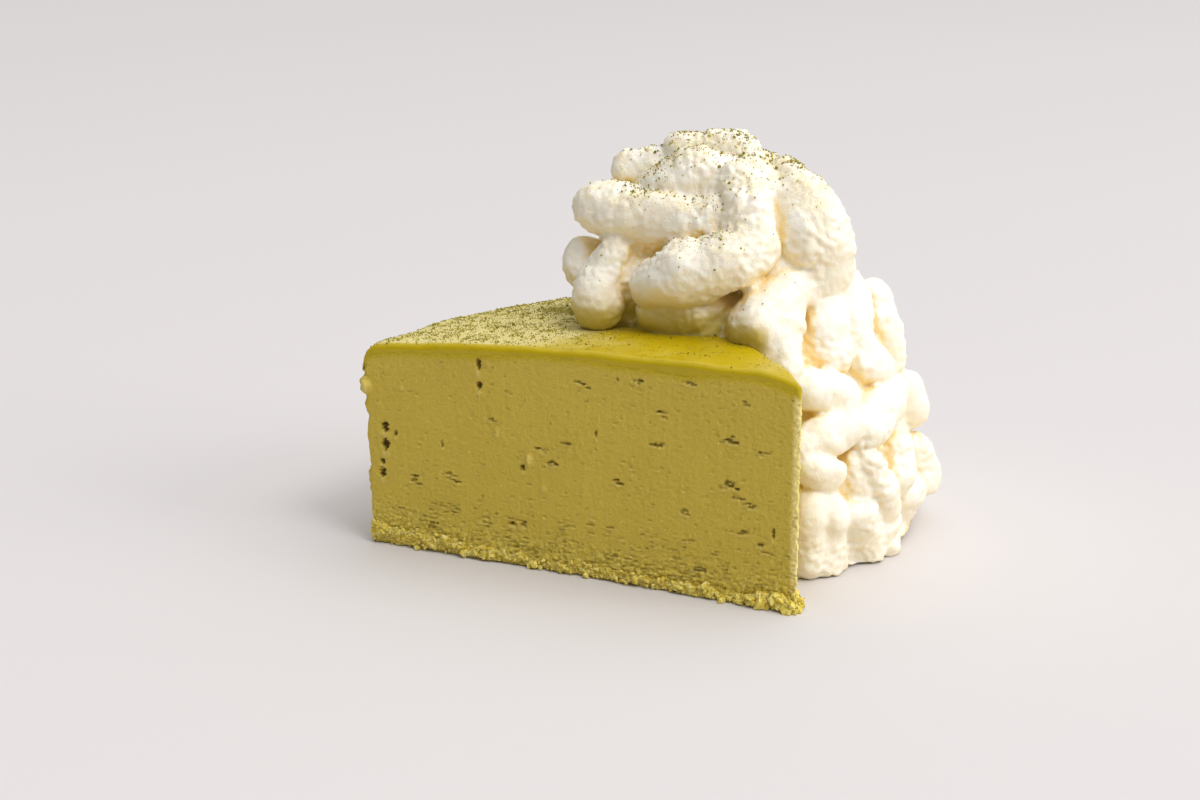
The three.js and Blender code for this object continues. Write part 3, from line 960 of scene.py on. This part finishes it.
# Ropes that show from the front, from the summit down, in millimetres: each is a route of
# middle points, and the last number of a point is the rope's radius there.
FRONT_ROPES = (
    ((5, -2, 82, 6.8), (9, -10, 81, 7.7), (14, -20, 81, 7.9), (18, -27, 82, 7.4)),
    ((17, -13, 87, 7.6), (21, -19, 89, 9), (26, -24, 88, 8)),
    ((14, -2, 91, 4.2), (18, -6, 93, 5)),
    ((22, -12, 96, 4.6), (26, -16, 96, 4.4), (30, -22, 96, 4.8), (35, -28, 91, 5)),
    (
        (5, -20, 67, 6), (7, -27, 70, 7.4), (11, -34, 72, 7.8), (18, -37, 76, 7.6),
        (21, -35, 83, 6.8), (24, -30, 90, 6.4),
    ),
    ((7, -20, 60, 5.2), (10, -27, 60, 5.8), (15, -31, 61, 5.2)),
    ((35, -35, 89, 6.4), (35, -40, 84, 9), (36, -43, 77, 10), (37, -45, 70, 8)),
    ((28, -30, 89, 7), (31, -36, 82, 7)),
    ((26, -45, 66, 5), (19, -44, 59, 9.2), (18, -48, 54, 7.2), (17, -53, 50, 4.6)),
    ((5, -8, 75, 5), (2, -7, 68, 6), (-1, -8, 61, 6.6)),
    ((5, 3, 70, 5.4), (4, 2, 66, 5.4)),
    ((15, 0, 72, 7), (22, -16, 72, 8), (27, -32, 70, 8), (31, -42, 66, 8)),
    ((47, -45, 62, 5.6), (43, -49, 56, 6.2), (42, -52, 50, 6.2), (47, -54, 45, 5.4)),
    ((37, -47, 61, 5), (34, -49, 56, 6), (33, -52, 51, 5.5)),
    ((59, -42, 58, 5.2), (60, -44, 51, 5.6), (62, -46, 43, 5)),
    ((22, -55, 45, 5.2), (27, -57, 43, 5.8), (31, -58, 40, 5.4)),
    ((29, -61, 36, 5), (23, -60, 34, 5.4), (18, -59, 32, 5)),
    ((51, -55, 39, 5.4), (44, -58, 36, 6), (35, -61, 33, 5.6)),
    ((65, -48, 36, 5), (66, -49, 30, 5)),
    ((18, -61, 28, 5), (22, -62, 25, 4.6)),
    ((33, -60, 24, 6.2), (34, -60, 19, 6)),
    ((34, -64, 26, 4), (39, -64, 19, 4.2), (42, -63, 13, 4)),
    ((49, -60, 25, 5), (47, -61, 19, 5.4)),
    ((68, -51, 19, 4.6), (69, -52, 11, 5)),
    ((67, -50, 8, 4.6), (53, -59, 13, 4.6)),
    ((18, -61, 18, 5), (20, -59, 4, 5.4)),
    ((22, -62, 17, 5), (24, -60, 3, 5.4)),
    ((32, -62, 13, 6), (38, -59, 3, 7.4)),
    ((41, -62, 7, 4.4), (45, -60, 1, 5)),
    ((45, -62, 8, 3.6), (44, -63, 7, 3.6)),
)

# The rest of the heap is a rough cone about this upright axis: its radius at a few heights.
HEAP_AXIS = (33, -18)
HEAP_PROFILE = (
    (0, 53), (16, 52), (28, 50), (38, 47), (48, 42.5), (60, 37), (70, 32), (85, 24), (95, 14),
    (104, 3),
)

# Its folds go round in tiers: height, radius, first and last bearing, and step.
TIERS = (
    (8, 8.6, -28, 96, 25),
    (25, 8.2, -22, 104, 26),
    (42, 8, -26, 110, 27),
    (59, 7.6, -18, 176, 29),
    (74, 7.2, -40, 160, 34),
    (83, 6, -20, 150, 48),
)

FOLD_SLANT = 5   # how far a fold's ends lie above and below its middle
FOLD_SWING = 7   # and how many degrees to either side
END_TUCK = 1.25  # the ends of a fold sink deeper into the heap than its middle

# The filling behind the ropes, as egg shapes: middle, radius level and radius upright.
HEAP_CORES = (((36, -17, 0), 47, 76), ((31, -18, 60), 20, 33))


def on_heap(bearing, height, inset):
    """A point on the heap in millimetres, sunk under its skin by the inset."""
    levels, radii = zip(*HEAP_PROFILE)
    radius = np.interp(height, levels, radii) - inset
    turn = math.radians(bearing)
    return (HEAP_AXIS[0] + radius * math.cos(turn), HEAP_AXIS[1] + radius * math.sin(turn), height)


def fold_route(radius, route):
    """The middle line of a fold, whose ends sink into the heap."""
    last = len(route) - 1
    return [
        (*on_heap(bearing, height, radius * (END_TUCK if k in (0, last) else 1)), radius)
        for k, (bearing, height) in enumerate(route)
    ]


def tier_routes():
    """The middle line of every fold of the tiers, no two alike."""
    for tier, (height, radius, first, last, step) in enumerate(TIERS):
        lean = 1 if tier % 2 == 0 else -1
        for bearing in np.arange(first, last + 1, step):
            sway = math.sin(bearing / 11 + 2.4 * tier)
            size = radius * (1 + 0.1 * math.sin(bearing / 7 + tier))
            slant = lean * FOLD_SLANT * (1 + 0.7 * sway)
            swing = FOLD_SWING * (1 - 0.4 * sway)
            middle = height + 2 * sway
            yield fold_route(size, (
                (bearing - swing, middle + slant), (bearing, middle),
                (bearing + swing, middle - slant),
            ))


def smooth_route(route, step):
    """Even stops along a smooth curve through the route: middles, radii and how far along."""
    points = np.asarray(route, float) * MM
    points = np.vstack([2 * points[0] - points[1], points, 2 * points[-1] - points[-2]])
    share = np.linspace(0, 1, 40)[:, None]
    pieces = []
    for before, start, end, after in zip(points, points[1:], points[2:], points[3:]):
        pieces.append(0.5 * (
            2 * start + (end - before) * share
            + (2 * before - 5 * start + 4 * end - after) * share**2
            + (3 * start - before - 3 * end + after) * share**3
        ))
    curve = np.concatenate(pieces)
    travel = travelled(curve[:, :3])
    stops = np.linspace(0, travel[-1], max(2, round(travel[-1] / step)) + 1)
    even = np.stack([np.interp(stops, travel, curve[:, k]) for k in range(4)], 1)
    return even[:, :3], even[:, 3], stops


ROPE_SIDES = 20
CAP_ANGLES = (80, 60, 40, 20)  # the rings of a rope's round end, in degrees from its rim


def rope(line, radii, stops, seed):
    """A round-ended rope of cream about a line, uneven in thickness, as points and faces."""
    widths = radii * (1 + 0.03 * np.sin(stops / (2.3 * MM) + seed) + 0.05 * rumple(line, 6 * MM, seed))
    tangent = np.gradient(line, axis=0)
    tangent /= np.linalg.norm(tangent, axis=1)[:, None]
    flat = np.linalg.svd(line - line.mean(axis=0))[2][2]
    caps = np.radians(CAP_ANGLES)
    spots = [
        *(line[0] - tangent[0] * widths[0] * np.sin(caps)[:, None]), *line,
        *(line[-1] + tangent[-1] * widths[-1] * np.sin(caps[::-1])[:, None]),
    ]
    ways = [*[tangent[0]] * len(caps), *tangent, *[tangent[-1]] * len(caps)]
    widths = [*(widths[0] * np.cos(caps)), *widths, *(widths[-1] * np.cos(caps[::-1]))]
    around = np.linspace(0, math.tau, ROPE_SIDES, endpoint=False)
    rings = []
    for spot, way, width in zip(spots, ways, widths):
        across = flat - way * np.dot(flat, way)
        across /= np.linalg.norm(across)
        other = np.cross(way, across)
        ring = np.cos(around)[:, None] * across + np.sin(around)[:, None] * other
        rings.append(spot + width * ring)
    return np.concatenate(rings), tube_faces(len(rings), len(around))


def slice_block(sizes):
    """The room that the slice takes out of the cream."""
    shares, faces = box_shell((60, 40, 1))
    inset = 0.25 * MM
    side = 2 * shares[:, 1] - 1
    reach = sizes.blunt + (sizes.cake_radius - inset - sizes.blunt) * shares[:, 0]
    high = top_height(sizes, reach) - inset
    height = -5 * MM + (high + 5 * MM) * shares[:, 2]
    points = wedge_points(sizes, reach, side, -inset + np.zeros_like(reach), height)
    return make_piece("slice_block", points, faces)


def fused(name, points, faces, detail, cutter):
    """Melt overlapping parts into one smooth skin and cut the cutter out of it."""
    rough = make_piece(name + "_rough", points, faces)
    melt = rough.modifiers.new("melt", "REMESH")
    melt.mode = "VOXEL"
    melt.voxel_size = detail
    soften = rough.modifiers.new("soften", "SMOOTH")
    soften.factor = 0.5
    soften.iterations = 12
    cut = rough.modifiers.new("cut", "BOOLEAN")
    cut.operation = "DIFFERENCE"
    cut.solver = "MANIFOLD"
    cut.object = cutter
    shaped = rough.evaluated_get(bpy.context.evaluated_depsgraph_get())
    mesh = bpy.data.meshes.new_from_object(shaped)
    bpy.data.objects.remove(rough)
    bpy.data.objects.remove(cutter)
    mesh.name = name
    mesh.shade_smooth()
    return add_object(name, mesh)


def rope_gaps(points, ropes):
    """How far each point lies outside the nearest rope and the next one, and how far along."""
    nearest = np.full(len(points), 1.0)
    second = np.full(len(points), 1.0)
    travel = np.zeros(len(points))
    for number, (line, radii, stops) in enumerate(ropes):
        reach = radii.max() + 6 * MM
        low, high = line.min(axis=0) - reach, line.max(axis=0) + reach
        close = np.flatnonzero(((points > low) & (points < high)).all(axis=1))
        away = np.linalg.norm(points[close, None] - line[None, ::2], axis=2) - radii[::2]
        best = away.argmin(axis=1)
        gap = away[np.arange(len(close)), best]
        first = gap < nearest[close]
        second[close] = np.where(first, nearest[close], np.minimum(second[close], gap))
        travel[close] = np.where(first, stops[::2][best] + 0.01 * number, travel[close])
        nearest[close] = np.where(first, gap, nearest[close])
    return nearest, second, travel


def cream_relief(cream, points, ropes):
    """How far the cream swells out at each point: soft lumps, curds, ridges and creases."""
    nearest, second, travel = rope_gaps(points, ropes)
    crease = np.exp(-(((second - nearest) / (1.2 * MM)) ** 2))
    crease *= ease(rumple(points, 13 * MM, 8), -0.25, 0.35)
    hollow = ease(nearest, 0.5 * MM, 4 * MM)
    bent = rumple(points, 5 * MM, cream.seed)
    rippled = ease(rumple(points, 11 * MM, 2), -0.2, 0.35)
    patches = 0.45 + 0.9 * ease(rumple(points, 12 * MM, 7), -0.2, 0.4)
    upper = ease(points[:, 2], 58 * MM, 76 * MM)
    ridges = np.sin(travel / (0.36 * MM) + 2.5 * bent) * rippled * patches * (0.45 + 0.55 * upper)
    lumps = rumple(points, 9 * MM, 3) + 0.4 * rumple(points, 4.5 * MM, 4)
    rough = 0.45 * curds(points, 2.6 * MM, 5) + 0.9 * rumple(points, 1.5 * MM, 6)
    rough *= patches * (0.75 + 0.25 * upper)
    swell = cream.lump_height * lumps + cream.curd_height * rough
    swell += cream.ridge_height * ridges
    return swell - cream.crease_depth * crease - 1.4 * MM * hollow


def cream_painted_bounce(sizes, points, normals):
    """How much painted green light bounced from the glaze and painted contact shadow each point of the
    cream gets, from 0 to 1.
    """
    ahead = points[:, 1] + sizes.tip_to_middle
    reach = np.hypot(points[:, 0], ahead)
    above = points[:, 2] - top_height(sizes, reach)
    turn = abs(np.arctan2(points[:, 0], ahead))
    beside = reach * np.sin(turn - sizes.opening / 2)
    rising = normals[:, 2]
    low_down = (1 - ease(above, 0, 13 * MM)) * (1 - ease(rising, -0.4, 0.9))
    by_glaze = (1 - ease(above, 1 * MM, 8 * MM)) * (1 - ease(rising, 0.1, 0.8))
    painted_bounce_and_shadow = np.maximum(low_down, by_glaze)
    return painted_bounce_and_shadow * (1 - ease(beside, 0, 4 * MM)) * (above > -2 * MM)


def cream_heap(cream, slice_sizes):
    """The heap of piped cream, cut to lie against the slice."""
    ropes = [smooth_route(route, 0.8 * MM) for route in (*FRONT_ROPES, *tier_routes())]
    parts = [rope(*way, seed) for seed, way in enumerate(ropes)]
    ball, sides = round_lump(5)
    for middle, level, upright in HEAP_CORES:
        parts.append(((ball * (level, level, upright) + middle) * MM, sides))
    points, faces = join_parts(parts)
    points[:, 2] = np.clip(points[:, 2], 0, None)
    heap = fused("cream_heap", points, faces, cream.detail, slice_block(slice_sizes))

    points, normals = points_of(heap.data)
    points += normals * cream_relief(cream, points, ropes)[:, None]
    points[:, 2] = np.clip(points[:, 2], 0, None)
    heap.data.vertices.foreach_set("co", points.astype(np.float32).ravel())
    heap.data.update()
    points, normals = points_of(heap.data)
    set_attributes(heap.data, {
        # Mask for the painted crease glow and shade: how enclosed each point is.
        "painted_crease_glow": sheltered(heap, 9 * MM),
        # Mask for the painted glaze bounce and contact shadow.
        "painted_bounce_and_shadow": cream_painted_bounce(slice_sizes, points, normals),
        # Painted shade mask: 1 where the cream faces down, 0 where it faces up.
        "painted_underside_shade": 1 - ease(normals[:, 2], -0.8, 0.5),
        "film": ease(normals[:, 2], -0.2, 0.7) * ease(points[:, 2], 66 * MM, 84 * MM),
    })
    return heap


def sheltered(piece, reach):
    """The share of the ways out of each point that the piece itself blocks within a reach."""
    tree = skin_tree(piece)
    points, normals = points_of(piece.data)
    across = np.cross(normals, (0.36, 0.48, 0.8))
    across /= np.linalg.norm(across, axis=1)[:, None] + 1e-9
    other = np.cross(normals, across)
    blocked = np.zeros(len(points))
    starts = points + 0.3 * MM * normals
    ways = [normals] + [
        0.64 * normals + 0.77 * (math.cos(turn) * across + math.sin(turn) * other)
        for turn in (k * math.tau / 5 for k in range(5))
    ]
    for way in ways:
        for k, (start, aim_way) in enumerate(zip(starts.tolist(), way.tolist())):
            if tree.ray_cast(start, aim_way, reach)[0] is not None:
                blocked[k] += 1 / len(ways)
    return blocked


# ---------------------------------------------------------------- powder


def skin_tree(piece):
    """A piece's surface, ready for rays to be cast on it."""
    return BVHTree.FromObject(piece, bpy.context.evaluated_depsgraph_get())


def landing(skin, x, y, start):
    """Where a grain that falls from a start height lands on a surface, and the normal there."""
    return skin.ray_cast(Vector((x, y, start)), DOWN)[:2]


def grains_on_glaze(sizes, rng):
    """Places and normals of grains on the glaze, more towards the rim, none under the cream."""
    skin = skin_tree(bpy.data.objects["glaze_skin"])
    cream = skin_tree(bpy.data.objects["cream_heap"])
    while True:
        reach = sizes.cake_radius * math.sqrt(rng.uniform(0, 0.99))
        bearing = QUARTER + sizes.opening / 2 * rng.uniform(-0.985, 0.985)
        x, y = reach * math.cos(bearing), reach * math.sin(bearing) - sizes.tip_to_middle
        spot = np.array([[x, y, 0.0]])
        clumped = 0.25 + 1.1 * ease(rumple(spot, 2.6 * MM, seed=21), -0.1, 0.5)[0]
        if rng.uniform() > (0.05 + dusting_amount(sizes, spot)[0]) * clumped:
            continue
        place, normal = landing(skin, x, y, 80 * MM)
        if place is None or normal.z < 0.4:
            continue
        if cream.ray_cast(place, UP, 6 * MM)[0] is None:
            yield place, normal


# Where the powder fell thickest on the cream, in millimetres: middle on the plan and spread.
POWDER_SPOTS = (
    ((22, -18), 17), ((22, -18), 15), ((25, -14), 5), ((30, -20), 4), ((12, -12), 4),
    ((34, -30), 5), ((38, -36), 4), ((12, -30), 5),
)


def grains_on_cream(rng):
    """Places and normals of grains on the upper sides of the cream, most at its summit."""
    skin = skin_tree(bpy.data.objects["cream_heap"])
    while True:
        middle, spread = POWDER_SPOTS[rng.integers(len(POWDER_SPOTS))]
        place, normal = landing(skin, *rng.normal(middle, spread) * MM, 150 * MM)
        if place is None or rng.uniform() > normal.z * ease(place.z, 20 * MM, 95 * MM) + 0.02:
            continue
        yield place, normal


def dust(name, landings, wanted, radius, spread, rng):
    """One mesh of powder, from the first grains that land, each of its own size and tone."""
    places, normals = zip(*islice(landings, wanted))
    radii = radius * rng.lognormal(0, spread, wanted)
    points, faces = grains(np.array(places), np.array(normals), radii, rng)
    tones = np.repeat(rng.uniform(0, 1, wanted), len(GRAIN_CORNERS))
    return make_piece(name, points, faces, {"tone": tones})


def powder_on_glaze(powder, sizes):
    """The powder on the glaze."""
    rng = np.random.default_rng(powder.seed)
    landings = grains_on_glaze(sizes, rng)
    return dust("powder_on_glaze", landings, powder.on_glaze, powder.grain, 0.35, rng)


def powder_on_cream(powder):
    """The powder on the cream, its grains a little larger."""
    rng = np.random.default_rng(powder.seed + 1)
    landings = grains_on_cream(rng)
    return dust("powder_on_cream", landings, powder.on_cream, 1.2 * powder.grain, 0.4, rng)


# ---------------------------------------------------------------- the studio


# Places in the studio, and the lights' widths, in metres.
CAMERA_PLACE = (-0.3325, -0.3759, 0.1801)
LIGHTS_AIM = (0.02, -0.02, 0.04)
SIDE_LIGHT = ((1.56, -2.75, 1.5), 1.6)
FRONT_LIGHT = ((-0.1, -2.6, 3.4), 1.2)
LIGHT_SHADE = (1, 0.985, 0.965)
SKY_SHADE = (1, 0.985, 0.97, 1)
FLOOR_HALF = 6.0
FLOOR_LEVEL = -0.1 * MM


def area_light(name, place, size, power):
    """A square soft light that faces the slice."""
    lamp = bpy.data.lights.new(name, "AREA")
    lamp.size = size
    lamp.energy = power
    lamp.color = LIGHT_SHADE
    piece = add_object(name, lamp)
    piece.location = place
    way = Vector(LIGHTS_AIM) - Vector(place)
    piece.rotation_euler = way.to_track_quat("-Z", "Y").to_euler()


def studio_camera(studio):
    """The camera, level except for a slight lean, looking down on the slice."""
    along = Vector((math.cos(studio.turn), math.sin(studio.turn), 0))
    right = Vector((along.y, -along.x, 0))
    forward = along * math.cos(studio.pitch) - Vector((0, 0, math.sin(studio.pitch)))
    up = right.cross(forward)
    leaning = right * math.cos(studio.roll) - up * math.sin(studio.roll)
    upright = leaning.cross(forward)
    turn = Matrix((leaning, upright, -forward)).transposed()
    lens = bpy.data.cameras.new("studio_camera")
    lens.lens = studio.lens
    lens.sensor_width = 36
    lens.clip_start = 0.02
    lens.clip_end = 20
    camera = add_object("studio_camera", lens)
    camera.matrix_world = Matrix.Translation(CAMERA_PLACE) @ turn.to_4x4()
    bpy.context.scene.camera = camera


def studio_floor(shades):
    """A large pale floor just under the slice."""
    signs = ((-1, -1), (1, -1), (1, 1), (-1, 1))
    corners = [(x * FLOOR_HALF, y * FLOOR_HALF, FLOOR_LEVEL) for x, y in signs]
    floor = make_piece("studio_floor", corners, [[0, 1, 2, 3]])
    floor.data.materials.append(floor_finish(shades))


def studio_sky(studio):
    """White light from all around, brighter overhead and on the right."""
    world = bpy.data.worlds.new("studio_sky")
    world.use_nodes = True
    sky = Nodes(world.node_tree, "Generated")
    background = world.node_tree.nodes["Background"]
    background.inputs["Color"].default_value = SKY_SHADE
    height = sky.add("ShaderNodeSeparateXYZ", None, {0: sky.place}, out="Z")
    right = (math.sin(studio.turn), -math.cos(studio.turn), 0)
    rightward = sky.add(
        "ShaderNodeVectorMath", {"operation": "DOT_PRODUCT"}, {0: sky.place, 1: right}, out="Value"
    )
    glow = studio.sky + studio.overhead * height * height * (1 + studio.lean * rightward)
    world.node_tree.links.new(glow.socket, background.inputs["Strength"])
    bpy.context.scene.world = world


# ---------------------------------------------------------------- operators


class CHEESECAKE_OT_cheesecake(Operator):
    """Build the cheesecake between the crumbs and the glaze"""

    bl_idname = "cheesecake.cheesecake"
    bl_label = "Cheesecake"

    def execute(self, context):
        scene = context.scene
        piece = cheesecake_body(scene.slice_sizes)
        finish_piece(piece, "cheesecake", cheesecake_finish(scene.food_colours), "cheesecake")
        return {"FINISHED"}


class CHEESECAKE_OT_crumbs(Operator):
    """Build the crumb layer"""

    bl_idname = "cheesecake.crumbs"
    bl_label = "Crumb layer"

    def execute(self, context):
        scene = context.scene
        piece = crumb_layer(scene.slice_sizes)
        finish_piece(piece, "crumb", crumb_finish(scene.food_colours), "crumb_base")
        return {"FINISHED"}


class CHEESECAKE_OT_glaze(Operator):
    """Build the green skin on top"""

    bl_idname = "cheesecake.glaze"
    bl_label = "Glaze"

    def execute(self, context):
        scene = context.scene
        piece = glaze_skin(scene.slice_sizes)
        finish_piece(piece, "glaze", glaze_finish(scene.food_colours), "matcha_glaze")
        return {"FINISHED"}


class CHEESECAKE_OT_cream(Operator):
    """Build the heap of whipped cream"""

    bl_idname = "cheesecake.cream"
    bl_label = "Whipped cream"

    def execute(self, context):
        scene = context.scene
        piece = cream_heap(scene.cream_sizes, scene.slice_sizes)
        finish_piece(piece, "cream", cream_finish(scene.food_colours), "whipped_cream")
        return {"FINISHED"}


class CHEESECAKE_OT_powder(Operator):
    """Dust the glaze and the cream, which have to be there already"""

    bl_idname = "cheesecake.powder"
    bl_label = "Powder"

    def execute(self, context):
        scene = context.scene
        shades = scene.food_colours
        on_glaze = powder_on_glaze(scene.powder_sizes, scene.slice_sizes)
        finish_piece(on_glaze, "glaze", powder_finish("powder_on_glaze", shades))
        on_cream = powder_on_cream(scene.powder_sizes)
        finish_piece(on_cream, "glaze", powder_finish("powder_on_cream", shades))
        return {"FINISHED"}


class CHEESECAKE_OT_studio(Operator):
    """Set up the floor, the lights and the camera"""

    bl_idname = "cheesecake.studio"
    bl_label = "Studio"

    def execute(self, context):
        scene = context.scene
        studio = scene.studio_sizes
        studio_floor(scene.food_colours)
        studio_sky(studio)
        area_light("side_light", *SIDE_LIGHT, studio.side_power)
        area_light("front_light", *FRONT_LIGHT, studio.front_power)
        studio_camera(studio)
        scene.view_settings.view_transform = "Standard"
        return {"FINISHED"}


class CHEESECAKE_PT_slice(Panel):
    """The sizes and colours of the slice, and a button for each piece"""

    bl_idname = "CHEESECAKE_PT_slice"
    bl_label = "Cheesecake slice"
    bl_space_type = "VIEW_3D"
    bl_region_type = "UI"
    bl_category = "Cheesecake"

    def draw(self, context):
        for operator in OPERATORS:
            self.layout.operator(operator.bl_idname)
        for title, group in GROUPS.items():
            box = self.layout.box()
            settings = getattr(context.scene, title)
            for name in group.__annotations__:
                box.prop(settings, name)


GROUPS = {
    "slice_sizes": SliceSizes,
    "cream_sizes": CreamSizes,
    "powder_sizes": PowderSizes,
    "food_colours": FoodColours,
    "studio_sizes": StudioSizes,
}
OPERATORS = (
    CHEESECAKE_OT_cheesecake,
    CHEESECAKE_OT_crumbs,
    CHEESECAKE_OT_glaze,
    CHEESECAKE_OT_cream,
    CHEESECAKE_OT_powder,
    CHEESECAKE_OT_studio,
)
CLASSES = (*GROUPS.values(), *OPERATORS, CHEESECAKE_PT_slice)


def register():
    for each in CLASSES:
        bpy.utils.register_class(each)
    for name, group in GROUPS.items():
        setattr(bpy.types.Scene, name, PointerProperty(type=group))


def unregister():
    for name in GROUPS:
        delattr(bpy.types.Scene, name)
    for each in reversed(CLASSES):
        bpy.utils.unregister_class(each)


def main():
    register()
    bpy.ops.cheesecake.cheesecake()
    bpy.ops.cheesecake.crumbs()
    bpy.ops.cheesecake.glaze()
    bpy.ops.cheesecake.cream()
    bpy.ops.cheesecake.powder()
    bpy.ops.cheesecake.studio()


if __name__ == "__main__":
    main()
